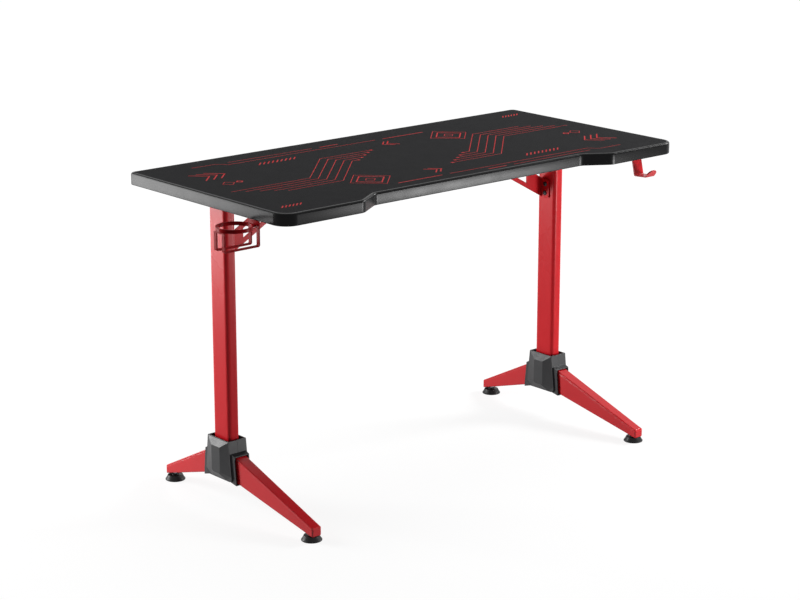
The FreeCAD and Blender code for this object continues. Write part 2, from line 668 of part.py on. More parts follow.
def leg(name, side):
    leg_x = f"({side} * leg_spread / 2)"
    column(name, side, leg_x)
    head_plate(name, leg_x)
    brace(name, side, leg_x)
    brace_bolts(name, side, leg_x)
    hub(name, leg_x)
    hub_clamps(name, side, leg_x)
    for end in ENDS:
        foot(name, end, leg_x)
        leveller(name, end, leg_x)
    cover_half("outer", name, side, leg_x)
    cover_half("inner", name, -side, leg_x)
    cover_screws(name, leg_x)


# Accessories
def cup_holder():
    """Ring beside the desktop's left edge, held by a slotted stirrup under it."""
    bottom = f"{CUP_TOP} - cup_band"
    at = (CUP_X, "-cup_forward", bottom)
    band = solid("Cylinder", "CupBand", at=at, Radius="cup_radius", Height="cup_band")
    tab = solid("Box", "CupTab", at=(CUP_X, "-cup_forward - cup_tab_width / 2", bottom),
                Length=f"{CUP_STRAP_IN} - {CUP_X}", Width="cup_tab_width", Height="cup_tab_thickness")
    bore = solid("Cylinder", "CupBore", at=at, Radius="cup_radius - cup_wall", Height="cup_band")
    keep(cut("CupRing", fuse("CupBlank", band, tab), bore), "cup_ring")

    strap = new_body("Strap")
    sheet_in = "strap_sheet"
    low = f"({UNDERSIDE} - cup_depth)"
    shelf_end = f"{CUP_STRAP_IN} + strap_shelf"
    rise_back = f"{CUP_STRAP_IN} + {sheet_in}"
    inner_out = f"{CUP_STRAP_OUT} + {sheet_in}"
    profile = [
        (CUP_STRAP_OUT, bottom), (CUP_STRAP_OUT, low), (rise_back, low),
        (rise_back, f"{UNDERSIDE} - {sheet_in}"), (shelf_end, f"{UNDERSIDE} - {sheet_in}"),
        (shelf_end, UNDERSIDE), (CUP_STRAP_IN, UNDERSIDE), (CUP_STRAP_IN, f"{low} + {sheet_in}"),
        (inner_out, f"{low} + {sheet_in}"), (inner_out, bottom),
    ]
    pad(strap, polygon(strap, "XZ_Plane", profile), "strap_width", both_ways=True)
    fillet(strap, "strap_round", edge_at("y", [(CUP_STRAP_OUT, low), (rise_back, low)]))
    fillet(strap, "strap_round - strap_sheet",
           edge_at("y", [(inner_out, f"{low} + {sheet_in}"), (CUP_STRAP_IN, f"{low} + {sheet_in}")]))
    slot = rectangle(strap, "XZ_Plane", (CUP_STRAP_OUT, rise_back), (low, f"{bottom} - strap_bar"))
    pocket(strap, slot, "strap_slot", both_ways=True)
    spots = [(f"{shelf_end} - shelf_screw_inset", f"{j} * strap_screw_pitch / 2") for j in (-1, 1)]
    holes = circles(strap, "XY_Plane", spots, "screw_radius + hole_clearance", UNDERSIDE)
    pocket(strap, holes, "strap_sheet")
    place(strap, y="-cup_forward")
    keep(strap, "cup_strap")


def headset_hook():
    """Bent strap: a shelf under the desktop, a leg, a floor and a rising lip with a round end."""
    body = new_body("Hook")
    low = f"({UNDERSIDE} - hook_drop)"
    thick, floor, angle = "hook_sheet", "(hook_floor_angle * 1 deg)", "(hook_lip_angle * 1 deg)"
    leg_y = f"({HOOK_Y} - hook_slant)"
    bend_y, bend_z = f"({leg_y} - hook_floor)", f"({low} + hook_floor * tan{floor})"
    tip_y, tip_z = f"({bend_y} - hook_lip)", f"({bend_z} + hook_lip * tan{angle})"
    middle, spread = f"(({floor} + {angle}) / 2)", f"cos(({angle} - {floor}) / 2)"
    profile = [
        (f"{HOOK_Y} + hook_shelf", UNDERSIDE), (f"{HOOK_Y} + hook_shelf", f"{UNDERSIDE} - {thick}"),
        (HOOK_Y, f"{UNDERSIDE} - {thick}"), (leg_y, low), (bend_y, bend_z), (tip_y, tip_z),
        (f"{tip_y} + {thick} * sin{angle}", f"{tip_z} + {thick} * cos{angle}"),
        (f"{bend_y} + {thick} * sin{middle} / {spread}", f"{bend_z} + {thick} * cos{middle} / {spread}"),
        (f"{leg_y} - {thick}", f"{low} + {thick}"), (f"{HOOK_Y} - {thick}", UNDERSIDE),
    ]
    pad(body, polygon(body, "YZ_Plane", profile), "hook_width", both_ways=True)
    fillet(body, "hook_round", edge_at("x", [(leg_y, low)]))
    fillet(body, "hook_round - hook_sheet", edge_at("x", [profile[8]]))
    tip = (value(tip_y), value(tip_z))

    def lip_corner(edge):
        middle = edge.CenterOfMass
        near = abs(middle.y - tip[0]) < value(thick) and abs(middle.z - tip[1]) < value(thick)
        return near and not along(edge, "x") and edge.Length < 1.01 * value(thick)

    fillet(body, "hook_end_round", lip_corner)
    spots = [(f"{i} * hook_screw_pitch / 2", f"{HOOK_Y} + hook_shelf - shelf_screw_inset") for i in (-1, 1)]
    holes = circles(body, "XY_Plane", spots, "screw_radius + hole_clearance", UNDERSIDE)
    pocket(body, holes, "hook_sheet")
    place(body, "hook_from_middle")
    keep(body, "headset_hook")


def check_and_write():
    """Stop on any failed object or bad shape, then write one file per sub-part."""
    doc.recompute()
    failed = [thing.Name for thing in doc.Objects if {"Invalid", "Error"} & set(thing.State)]
    failed += [node.Label for node in nodes if node.Shape.isNull() or not node.Shape.isValid()]
    if failed:
        raise RuntimeError(f"Failed: {failed}")
    os.makedirs("parts", exist_ok=True)
    for node in nodes:
        node.Shape.exportStep(f"parts/{node.Label}.step")


SEATS = screw_seats()
desktop(SEATS)
for leg_name, leg_side in SIDES.items():
    leg(leg_name, leg_side)
cup_holder()
headset_hook()
for screws, places in SEATS.items():
    wood_screws(screws, places)
check_and_write()
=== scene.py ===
"""Gaming desk, dressed: finishes, printed mat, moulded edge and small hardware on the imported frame.

Metres, +Z up, +X along the desktop, +Y to the back, floor at Z = 0.
"""

import logging
import math
from dataclasses import dataclass, field
from enum import Enum, auto
from typing import Iterable

import bmesh
import bpy
import numpy as np
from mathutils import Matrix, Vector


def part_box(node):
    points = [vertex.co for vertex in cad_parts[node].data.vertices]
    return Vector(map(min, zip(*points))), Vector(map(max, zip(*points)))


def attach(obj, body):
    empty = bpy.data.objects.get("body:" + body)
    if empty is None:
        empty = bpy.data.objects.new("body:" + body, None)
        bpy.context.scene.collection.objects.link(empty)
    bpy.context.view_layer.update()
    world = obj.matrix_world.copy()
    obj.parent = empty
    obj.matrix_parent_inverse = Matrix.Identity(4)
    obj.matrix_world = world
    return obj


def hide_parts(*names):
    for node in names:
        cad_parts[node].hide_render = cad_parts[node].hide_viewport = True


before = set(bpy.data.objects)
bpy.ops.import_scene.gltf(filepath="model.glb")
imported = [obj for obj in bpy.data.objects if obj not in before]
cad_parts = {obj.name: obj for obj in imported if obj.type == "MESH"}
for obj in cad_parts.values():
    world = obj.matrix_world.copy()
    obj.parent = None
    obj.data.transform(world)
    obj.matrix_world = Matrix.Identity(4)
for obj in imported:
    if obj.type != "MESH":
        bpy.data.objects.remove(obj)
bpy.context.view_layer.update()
LOG = logging.getLogger("desk")
MM = 0.001
ROOT_BODY = "desk"
# X of the desktop's middle.
DESK_X = 0.04225
# Radius at which a turned surface closes on its axis.
POLE = 0.00001
RANGE_INPUTS = ("From Min", "From Max", "To Min", "To Max")

Rgb = tuple[float, float, float]
Span = tuple[float, float]
Socket = bpy.types.NodeSocket


class Slot(Enum):
    """Material slots of the record."""

    BOARD = "board"
    EDGE = "edge"
    MAT = "mat"
    PAINT = "red_paint"
    STEEL = "black_steel"
    SCREW = "black_screw"
    ZINC = "zinc"
    COVER = "cover"
    PAD = "pad"


class Coat(Enum):
    """Finishes of some kinds of piece, beside those of the slots."""

    INK = auto()
    # Cup holder's darker red, which is partly painted shade of the tabletop.
    CUP = auto()
    TUBE = auto()
    FOOT = auto()
    BRACE = auto()


class Side(Enum):
    """The two legs, as node names call them."""

    LEFT = "left"
    RIGHT = "right"


class End(Enum):
    """The two feet of a leg, as node names call them."""

    FRONT = "front"
    REAR = "rear"


class Axis(Enum):
    """Axes of the frame, with their place in a point."""

    X = 0
    Y = 1
    Z = 2


def linear(red: float, green: float, blue: float) -> Rgb:
    """Scene colour of a screen colour, by the standard curve of screens.

    Args:
        red, green, blue: Screen values from 0 to 255.

    Returns:
        The same colour as linear values from 0 to 1.
    """
    screen = np.array((red, green, blue)) / 255
    return tuple(np.where(screen <= 0.04045, screen / 12.92, ((screen + 0.055) / 1.055) ** 2.4))


class Shader:
    """Node tree of one material, built up around a Principled surface."""

    MIDDLE: Span = (0.3, 0.7)
    ROLL_SAMPLES = 16

    def __init__(self, name: str) -> None:
        """Start a material.

        Args:
            name: Name of the material.
        """
        self.material = bpy.data.materials.new(name)
        self.material.use_nodes = True
        self.nodes = self.material.node_tree.nodes
        self.links = self.material.node_tree.links
        self.surface = next(node for node in self.nodes if node.type == "BSDF_PRINCIPLED")
        self.place = self.nodes.new("ShaderNodeTexCoord").outputs["Object"]

    def set(self, **values: float) -> None:
        """Set constant inputs of the surface.

        Args:
            values: Value by socket name, with underscores for spaces.
        """
        for name, value in values.items():
            self.surface.inputs[name.replace("_", " ")].default_value = value

    def feed(self, name: str, socket: Socket) -> None:
        """Link a varying value to a named input of the surface."""
        self.links.new(socket, self.surface.inputs[name])

    def stretched(self, stretch: Rgb) -> Socket:
        """Object coordinates, scaled along the axes.

        Args:
            stretch: Scale on X, Y and Z.

        Returns:
            The coordinates.
        """
        mapping = self.nodes.new("ShaderNodeMapping")
        mapping.inputs["Scale"].default_value = stretch
        self.links.new(self.place, mapping.inputs["Vector"])
        return mapping.outputs["Vector"]

    def noise(self, scale: float, detail: float = 2.0, stretch: Rgb = (1.0, 1.0, 1.0)) -> Socket:
        """Cloudy pattern from 0 to 1.

        Args:
            scale: Features per metre.
            detail: Octaves of finer features.
            stretch: Scale of the coordinates on X, Y and Z.

        Returns:
            The pattern's value.
        """
        node = self.nodes.new("ShaderNodeTexNoise")
        node.inputs["Scale"].default_value = scale
        node.inputs["Detail"].default_value = detail
        self.links.new(self.stretched(stretch), node.inputs["Vector"])
        return node.outputs["Fac"]

    def cells(self, scale: float) -> Socket:
        """Pebbled pattern of rounded cells.

        Args:
            scale: Cells per metre.

        Returns:
            Distance from each cell's middle.
        """
        node = self.nodes.new("ShaderNodeTexVoronoi")
        node.feature = "SMOOTH_F1"
        node.inputs["Scale"].default_value = scale
        self.links.new(self.place, node.inputs["Vector"])
        return node.outputs["Distance"]

    def ribs(self, scale: float, direction: Axis, wander: float, wander_scale: float) -> Socket:
        """Pattern of parallel ribs from 0 to 1.

        Args:
            scale: Scale of the pattern.
            direction: Axis that the ribs follow each other along.
            wander: How far the ribs stray from straight.
            wander_scale: Scale of the straying.

        Returns:
            The pattern's value.
        """
        node = self.nodes.new("ShaderNodeTexWave")
        node.wave_type = "BANDS"
        node.bands_direction = direction.name
        node.inputs["Scale"].default_value = scale
        node.inputs["Distortion"].default_value = wander
        node.inputs["Detail Scale"].default_value = wander_scale
        self.links.new(self.place, node.inputs["Vector"])
        return node.outputs["Fac"]

    def product(self, first: Socket, second: Socket) -> Socket:
        """One pattern times another.

        Args:
            first, second: The patterns.

        Returns:
            Their product.
        """
        node = self.nodes.new("ShaderNodeMath")
        node.operation = "MULTIPLY"
        self.links.new(first, node.inputs[0])
        self.links.new(second, node.inputs[1])
        return node.outputs["Value"]

    def ramp(self, factor: Socket, low: Rgb, high: Rgb, span: Span = MIDDLE) -> Socket:
        """Colour that goes from one to another.

        Args:
            factor: Value that chooses the colour.
            low: Colour below the span.
            high: Colour above the span.
            span: Values where the change begins and ends.

        Returns:
            The colour.
        """
        node = self.nodes.new("ShaderNodeValToRGB")
        for element, place, colour in zip(node.color_ramp.elements, span, (low, high)):
            element.position = place
            element.color = (*colour, 1.0)
        self.links.new(factor, node.inputs["Fac"])
        return node.outputs["Color"]

    def ranged(self, factor: Socket, low: float, high: float) -> Socket:
        """Value that goes from one number to another over the middle of a pattern.

        Args:
            factor: Pattern that chooses the number.
            low: Number at the start of the middle span.
            high: Number at its end.

        Returns:
            The value.
        """
        node = self.nodes.new("ShaderNodeMapRange")
        for name, value in zip(RANGE_INPUTS, (*self.MIDDLE, low, high)):
            node.inputs[name].default_value = value
        self.links.new(factor, node.inputs["Value"])
        return node.outputs["Result"]

    def bump(self, height: Socket, depth: float, strength: float, under: Socket | None = None) -> Socket:
        """Relief from a pattern.

        Args:
            height: Pattern from 0 to 1.
            depth: Height of the relief in metres.
            strength: Share of the relief that shows.
            under: Normal that the relief is laid on.

        Returns:
            The normal.
        """
        node = self.nodes.new("ShaderNodeBump")
        node.inputs["Strength"].default_value = strength
        node.inputs["Distance"].default_value = depth
        self.links.new(height, node.inputs["Height"])
        if under is not None:
            self.links.new(under, node.inputs["Normal"])
        return node.outputs["Normal"]

    def softened(self, radius: float) -> Socket:
        """Normal that rolls over the sharp edges of a piece.

        Args:
            radius: Radius of the roll.

        Returns:
            The normal.
        """
        node = self.nodes.new("ShaderNodeBevel")
        node.samples = self.ROLL_SAMPLES
        node.inputs["Radius"].default_value = radius
        return node.outputs["Normal"]


@dataclass(frozen=True)
class Finish:
    """What every finish has: its material's name, a main colour and the colour of its patches or flecks."""

    name: str
    colour: Rgb
    patch: Rgb

    def paint(self, shader: Shader) -> None:
        """Build the material's nodes, which each kind of finish does in its own way."""
        raise NotImplementedError

    def make(self) -> bpy.types.Material:
        """Make the material.

        Returns:
            The material.
        """
        shader = Shader(self.name)
        self.paint(shader)
        return shader.material


@dataclass(frozen=True)
class PowderPaint(Finish):
    """Baked powder paint: even colour, faint mottling and a fine orange peel."""

    gloss: Span = (0.27, 0.29)
    peel: float = 0.00004
    sheen: float = 0.16
    edge: float = 0.0009
    cloud_scale: float = 9.0
    gloss_scale: float = 12.0
    peel_scale: float = 420.0
    peel_strength: float = 0.3
    grain_scale: float = 1900.0
    grain_share: float = 0.4
    grain_strength: float = 0.35
    refraction: float = 1.5

    def paint(self, shader: Shader) -> None:
        """Build the material: cloudy colour, patchy gloss, and relief on two scales.

        Args:
            shader: Shader of the material.
        """
        clouds = shader.noise(self.cloud_scale, detail=3.0)
        shader.feed("Base Color", shader.ramp(clouds, self.patch, self.colour))
        shader.feed("Roughness", shader.ranged(shader.noise(self.gloss_scale), *self.gloss))
        rounded = shader.softened(self.edge)
        waves = shader.noise(self.peel_scale, detail=1.0)
        coarse = shader.bump(waves, self.peel, self.peel_strength, rounded)
        grain = shader.noise(self.grain_scale)
        shader.feed("Normal", shader.bump(grain, self.peel * self.grain_share, self.grain_strength, coarse))
        shader.set(IOR=self.refraction, Specular_IOR_Level=self.sheen)


@dataclass(frozen=True)
class MouldedPlastic(Finish):
    """Injection-moulded plastic with a fine spark-eroded grain."""

    gloss: Span = (0.36, 0.44)
    grain: float = 0.00006
    grain_scale: float = 1500.0
    edge: float = 0.0011
    sheen: float = 0.35
    tone_scale: float = 18.0
    gloss_scale: float = 70.0
    pebble_strength: float = 0.35
    fine_ratio: float = 2.2
    fine_share: float = 0.5
    fine_strength: float = 0.4
    refraction: float = 1.48

    def paint(self, shader: Shader) -> None:
        """Build the material: slight tone drift, satin gloss and pebbled relief.

        Args:
            shader: Shader of the material.
        """
        tone = shader.noise(self.tone_scale, detail=3.0)
        shader.feed("Base Color", shader.ramp(tone, self.patch, self.colour))
        shader.feed("Roughness", shader.ranged(shader.noise(self.gloss_scale, detail=3.0), *self.gloss))
        rounded = shader.softened(self.edge)
        pebbles = shader.bump(shader.cells(self.grain_scale), self.grain, self.pebble_strength, rounded)
        fine = shader.noise(self.grain_scale * self.fine_ratio)
        shader.feed("Normal", shader.bump(fine, self.grain * self.fine_share, self.fine_strength, pebbles))
        shader.set(IOR=self.refraction, Specular_IOR_Level=self.sheen)


@dataclass(frozen=True)
class GlossMoulding(Finish):
    """Polished black edge moulding with the slight waviness of extruded plastic."""

    gloss: Span = (0.24, 0.28)
    sheen: float = 0.09
    haze_scale: float = 12.0
    gloss_scale: float = 20.0
    ripple_scale: float = 6.0
    ripple_stretch: Rgb = (1.0, 1.0, 0.2)
    ripple_depth: float = 0.0004
    ripple_strength: float = 0.03
    refraction: float = 1.5

    def paint(self, shader: Shader) -> None:
        """Build the material: deep black, faint haze, and long shallow ripples.

        Args:
            shader: Shader of the material.
        """
        shader.feed("Base Color", shader.ramp(shader.noise(self.haze_scale), self.colour, self.patch))
        shader.feed("Roughness", shader.ranged(shader.noise(self.gloss_scale), *self.gloss))
        ripple = shader.noise(self.ripple_scale, detail=0.0, stretch=self.ripple_stretch)
        shader.feed("Normal", shader.bump(ripple, self.ripple_depth, self.ripple_strength))
        shader.set(IOR=self.refraction, Specular_IOR_Level=self.sheen)


@dataclass(frozen=True)
class GrainedMat(Finish):
    """Matt printed film with a fine crossed grain, like closely woven fibre.

    The rib ratio is the scale of the rib pattern times the distance between ribs.
    """

    pitch: float = 0.0016
    gloss: Span = (0.80, 0.84)
    sheen: float = 0.03
    rib_ratio: float = 0.314
    wander: float = 0.6
    wander_scale: float = 2.0
    weave_span: Span = (0.1, 0.9)
    weave_depth: float = 0.00008
    weave_strength: float = 0.5
    gloss_scale: float = 25.0
    fibre_scale: float = 900.0
    fibre_depth: float = 0.00006
    fibre_strength: float = 0.4
    refraction: float = 1.45

    def paint(self, shader: Shader) -> None:
        """Build the material: two crossed sets of fine ribs, one along X and one along Y.

        Args:
            shader: Shader of the material.
        """
        scale = self.rib_ratio / self.pitch
        ribs = [shader.ribs(scale, axis, self.wander, self.wander_scale) for axis in (Axis.X, Axis.Y)]
        weave = shader.product(*ribs)
        shader.feed("Base Color", shader.ramp(weave, self.colour, self.patch, self.weave_span))
        shader.feed("Roughness", shader.ranged(shader.noise(self.gloss_scale, detail=3.0), *self.gloss))
        relief = shader.bump(weave, self.weave_depth, self.weave_strength)
        fibres = shader.noise(self.fibre_scale, detail=3.0)
        shader.feed("Normal", shader.bump(fibres, self.fibre_depth, self.fibre_strength, relief))
        shader.set(IOR=self.refraction, Specular_IOR_Level=self.sheen)


@dataclass(frozen=True)
class Laminate(Finish):
    """Thin black backing sheet on pressed board, with a short fibrous grain."""

    gloss: Span = (0.5, 0.68)
    fleck_scale: float = 260.0
    fleck_stretch: Rgb = (0.25, 1.0, 1.0)
    fleck_span: Span = (0.45, 0.75)
    depth: float = 0.0001
    strength: float = 0.4

    def paint(self, shader: Shader) -> None:
        """Build the material: flecks drawn out along X, with a little relief.

        Args:
            shader: Shader of the material.
        """
        flecks = shader.noise(self.fleck_scale, detail=4.0, stretch=self.fleck_stretch)
        shader.feed("Base Color", shader.ramp(flecks, self.colour, self.patch, self.fleck_span))
        shader.feed("Roughness", shader.ranged(flecks, *self.gloss))
        shader.feed("Normal", shader.bump(flecks, self.depth, self.strength))


@dataclass(frozen=True)
class PlatedMetal(Finish):
    """Plated steel with fine tool marks and a cloudy plating."""

    gloss: Span = (0.24, 0.40)
    metal: float = 1.0
    cloud_scale: float = 160.0
    gloss_scale: float = 500.0
    mark_scale: float = 900.0
    mark_stretch: Rgb = (1.0, 1.0, 4.0)
    mark_depth: float = 0.00004
    mark_strength: float = 0.4

    def paint(self, shader: Shader) -> None:
        """Build the material: cloudy plating over close turning marks.

        Args:
            shader: Shader of the material.
        """
        clouds = shader.noise(self.cloud_scale, detail=3.0)
        shader.feed("Base Color", shader.ramp(clouds, self.patch, self.colour))
        shader.feed("Roughness", shader.ranged(shader.noise(self.gloss_scale, detail=3.0), *self.gloss))
        marks = shader.noise(self.mark_scale, stretch=self.mark_stretch)
        shader.feed("Normal", shader.bump(marks, self.mark_depth, self.mark_strength))
        shader.set(Metallic=self.metal)


@dataclass(frozen=True)
class PrintInk(Finish):
    """Screen-printed ink, a little uneven in cover."""

    gloss: Span = (0.5, 0.62)
    sheen: float = 0.08
    patch_scale: float = 700.0
    patch_span: Span = (0.25, 0.5)
    depth: float = 0.00004
    strength: float = 0.4

    def paint(self, shader: Shader) -> None:
        """Build the material: ink that thins in small patches, over the mat's grain.

        Args:
            shader: Shader of the material.
        """
        cover = shader.noise(self.patch_scale, detail=4.0)
        shader.feed("Base Color", shader.ramp(cover, self.patch, self.colour, self.patch_span))
        shader.feed("Roughness", shader.ranged(cover, *self.gloss))
        shader.feed("Normal", shader.bump(cover, self.depth, self.strength))
        shader.set(Specular_IOR_Level=self.sheen)


class Finishes:
    """Every finish of the desk, by its slot in the record or by the kind of piece that has it."""

    RED = linear(208, 32, 40)
    DEEP_RED = linear(200, 28, 36)
    EVEN_RED = linear(202, 29, 37)
    TABLE: dict[Slot | Coat, Finish] = {
        Slot.BOARD: Laminate("board_laminate", linear(30, 30, 31), linear(46, 46, 47)),
        Slot.EDGE: GlossMoulding("edge_gloss_black", linear(9, 9, 10), linear(13, 13, 15)),
        Slot.MAT: GrainedMat("mat_charcoal", linear(33, 33, 34), linear(46, 46, 47)),
        Slot.PAINT: PowderPaint("paint_red", RED, DEEP_RED),
        Slot.STEEL: PowderPaint("paint_black", linear(32, 32, 33), linear(25, 25, 26), gloss=(0.45, 0.55)),
        Slot.SCREW: PlatedMetal("screw_black_oxide", linear(58, 58, 60), linear(38, 38, 40),
                                gloss=(0.35, 0.5), metal=0.7),
        Slot.ZINC: PlatedMetal("plating_zinc", linear(205, 207, 210), linear(170, 173, 178)),
        Slot.COVER: MouldedPlastic("cover_black_plastic", linear(38, 38, 40), linear(31, 31, 33)),
        Slot.PAD: MouldedPlastic("pad_black_rubber", linear(22, 21, 22), linear(17, 16, 17),
                                 grain=0.00009, grain_scale=900.0, edge=0.0006, sheen=0.2),
        Coat.INK: PrintInk("mat_ink_red", linear(186, 28, 32), linear(150, 22, 26)),
        # Cup holder: the red paint made darker, partly as a darker paint and partly as painted shade of the
        # tabletop above it.
        Coat.CUP: PowderPaint("paint_dark_red", linear(150, 13, 20), linear(138, 10, 17), sheen=0.03),
        Coat.TUBE: PowderPaint("paint_red_tube", RED, EVEN_RED, peel=0.00002, sheen=0.12, edge=0.006),
        Coat.FOOT: PowderPaint("paint_red_foot", RED, EVEN_RED, gloss=(0.2, 0.22), peel=0.00001,
                               sheen=0.27, edge=0.002),
        Coat.BRACE: PowderPaint("paint_red_brace", RED, DEEP_RED, sheen=0.07),
    }

    def __init__(self) -> None:
        """Make all the materials."""
        self.materials = {kind: finish.make() for kind, finish in self.TABLE.items()}

    def dress(self, kind: Slot | Coat, nodes: Iterable[str]) -> None:
        """Give a finish to CAD nodes.

        Args:
            kind: Slot or coat of the finish.
            nodes: Names of the nodes.
        """
        material = self.materials[kind]
        for name in nodes:
            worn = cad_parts[name].data.materials
            worn.clear()
            worn.append(material)
            LOG.info("%s dressed in %s", name, material.name)


@dataclass
class Surface:
    """Grid of points, rows by columns, that may close on itself in either direction."""

    points: np.ndarray
    wrap_rows: bool = False
    wrap_columns: bool = True

    def faces(self) -> tuple[np.ndarray, list[np.ndarray]]:
        """Quads between neighbouring rows and columns, and the caps of a tube.

        Returns:
            Quads as four indices each, and caps as lists of indices.
        """
        rows, columns = self.points.shape[:2]
        index = np.arange(rows * columns).reshape(rows, columns)
        if self.wrap_rows:
            index = np.vstack((index, index[:1]))
        if self.wrap_columns:
            index = np.hstack((index, index[:, :1]))
        quads = np.stack((index[:-1, :-1], index[:-1, 1:], index[1:, 1:], index[1:, :-1]), axis=-1)
        ends = [index[0, :columns][::-1], index[-1, :columns]]
        is_tube = self.wrap_columns and not self.wrap_rows
        return quads.reshape(-1, 4), ends if is_tube else []


def make_piece(name: str, surfaces: list[Surface], material: bpy.types.Material, body: str,
               replaces: tuple[str, ...] = ()) -> None:
    """Make one piece of the object from surfaces.

    Args:
        name: Name of the piece.
        surfaces: Surfaces that make it up, each closed.
        material: Finish of the piece.
        body: Body that it moves with.
        replaces: CAD nodes that it stands for.
    """
    same_place, sharp_angle = 1e-7, math.radians(32)
    points, polygons, start = [], [], 0
    for surface in surfaces:
        quads, ends = surface.faces()
        points.append(surface.points.reshape(-1, 3))
        polygons += (quads + start).tolist() + [(end + start).tolist() for end in ends]
        start += len(points[-1])
    mesh = bpy.data.meshes.new(name)
    mesh.from_pydata(np.vstack(points).tolist(), [], polygons)
    shell = bmesh.new()
    shell.from_mesh(mesh)
    bmesh.ops.remove_doubles(shell, verts=shell.verts, dist=same_place)
    bmesh.ops.recalc_face_normals(shell, faces=shell.faces)
    shell.to_mesh(mesh)
    shell.free()
    mesh.polygons.foreach_set("use_smooth", np.ones(len(mesh.polygons), dtype=bool))
    mesh.set_sharp_from_angle(angle=sharp_angle)
    mesh.materials.append(material)
    piece = bpy.data.objects.new(name, mesh)
    bpy.context.scene.collection.objects.link(piece)
    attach(piece, body)
    if replaces:
        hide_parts(*replaces)
    LOG.info("%s made with %d faces", name, len(mesh.polygons))


def arc(centre: Span, radius: float, start: float, end: float, count: int) -> np.ndarray:
    """Points on a circular arc: centre plus radius times cosine and sine of an even run of angles.

    Args:
        centre: Middle of the circle.
        radius: Its radius.
        start, end: First and last angle in degrees.
        count: Number of points.

    Returns:
        Points, one row each.
    """
    angle = np.radians(np.linspace(start, end, count))
    return np.asarray(centre) + radius * np.column_stack((np.cos(angle), np.sin(angle)))


def ribbon(path: np.ndarray, width: float, levels: Span, closed: bool) -> Surface:
    """Flat strip along a path: a rectangle carried along it, with mitred corners.

    At each corner the rectangle lies on the bisector: the sum of the two neighbouring unit normals,
    divided by one plus their dot product, which keeps the strip's width on both runs.

    Args:
        path: Corners of the path in plan, one row each.
        width: Width of the strip.
        levels: Lowest and highest Z.
        closed: Whether the path comes back to its start.

    Returns:
        The strip's surface.
    """
    ends = np.vstack((path, path[:1])) if closed else path
    step = np.diff(ends, axis=0)
    along = step / np.linalg.norm(step, axis=1, keepdims=True)
    normal = np.column_stack((-along[:, 1], along[:, 0]))
    if closed:
        before, after = np.roll(normal, 1, axis=0), normal
    else:
        before, after = np.vstack((normal[:1], normal)), np.vstack((normal, normal[-1:]))
    mitre = (before + after) / (1 + np.sum(before * after, axis=1, keepdims=True))
    offset = np.array((0.5, 0.5, -0.5, -0.5))[None, :, None] * width
    plan = path[:, None, :] + offset * mitre[:, None, :]
    low, high = levels
    height = np.broadcast_to(np.array((low, high, high, low))[None, :, None], (len(path), 4, 1))
    return Surface(np.concatenate((plan, height), axis=2), wrap_rows=closed)


def rounded_outline(corners: np.ndarray, radii: np.ndarray, count: int) -> tuple[np.ndarray, np.ndarray]:
    """Outline of a polygon with rounded corners, and its inward normals.

    A corner's arc is its centre minus the signed radius times the inward normal, while that normal
    turns evenly from the one of the side before to the one of the side after.

    Args:
        corners: Corners in plan, anticlockwise, one row each.
        radii: Radius at each corner.
        count: Points on each arc.

    Returns:
        Points and normals, one row each.
    """
    incoming = corners - np.roll(corners, 1, axis=0)
    incoming /= np.linalg.norm(incoming, axis=1, keepdims=True)
    heading = np.arctan2(incoming[:, 1], incoming[:, 0])
    turn = (np.roll(heading, -1) - heading + math.pi) % (2 * math.pi) - math.pi
    angle = heading[:, None] + math.pi / 2 + np.linspace(0, 1, count)[None, :] * turn[:, None]
    normal = np.stack((np.cos(angle), np.sin(angle)), axis=-1)
    setback = (radii * np.tan(np.abs(turn) / 2))[:, None]
    signed = (np.sign(turn) * radii)[:, None]
    centre = corners - incoming * setback + signed * normal[:, 0]
    points = centre[:, None, :] - signed[:, None] * normal
    return points.reshape(-1, 2), normal.reshape(-1, 2)


@dataclass
class Lathe:
    """Turned shape: a profile of distance along an axis and radius, spun about the axis."""

    axis: Axis
    centre: np.ndarray
    columns: int = 48
    rows_per_turn: int = 8

    @property
    def angles(self) -> np.ndarray:
        """Even run of angles round the axis, in radians."""
        return np.linspace(0, 2 * math.pi, self.columns, endpoint=False)

    def placed(self, along: np.ndarray, radius: np.ndarray) -> Surface:
        """Put the surface round the axis: radius times cosine and sine of the angle, plus the centre.

        Args:
            along: Distance along the axis, one row each.
            radius: Radius by row and angle.

        Returns:
            The surface.
        """
        across, over = (axis.value for axis in Axis if axis is not self.axis)
        points = np.zeros((len(along), self.columns, 3))
        points[:, :, self.axis.value] = along[:, None]
        points[:, :, across] = radius * np.cos(self.angles)
        points[:, :, over] = radius * np.sin(self.angles)
        return Surface(points + self.centre)

    def spin(self, profile: np.ndarray, hexed: np.ndarray | None = None) -> Surface:
        """Spin a profile; the points marked as hexed lie on a hexagon in place of a circle.

        The radius at an angle is the profile's radius, or for a hexagon the apothem divided by the
        cosine of the angle folded into one sixth of a turn.

        Args:
            profile: Distance along the axis and radius, one row each.
            hexed: True for each point on a hexagon.

        Returns:
            The surface.
        """
        fold = (self.angles + math.pi / 6) % (math.pi / 3) - math.pi / 6
        reach = np.ones((len(profile), self.columns))
        if hexed is not None:
            reach = np.where(hexed[:, None], 1 / np.cos(fold)[None, :], 1.0)
        return self.placed(profile[:, 0], profile[:, 1][:, None] * reach)

    def thread(self, span: Span, radius: float, pitch: float, depth: float) -> Surface:
        """Screw thread: the radius drops by a triangle wave of distance over pitch less angle over a turn.

        Args:
            span: First and last distance along the axis.
            radius: Outer radius.
            pitch: Distance between turns.
            depth: Depth of the groove.

        Returns:
            The surface.
        """
        rows = int(round((span[1] - span[0]) / pitch * self.rows_per_turn)) + 1
        along = np.linspace(*span, rows)
        turns = along[:, None] / pitch - self.angles[None, :] / (2 * math.pi)
        wave = np.abs(2 * (turns % 1) - 1)
        ends = np.minimum(1, np.minimum(along - span[0], span[1] - along) / pitch)[:, None]
        return self.placed(along, radius - depth * (wave * ends + (1 - ends)))


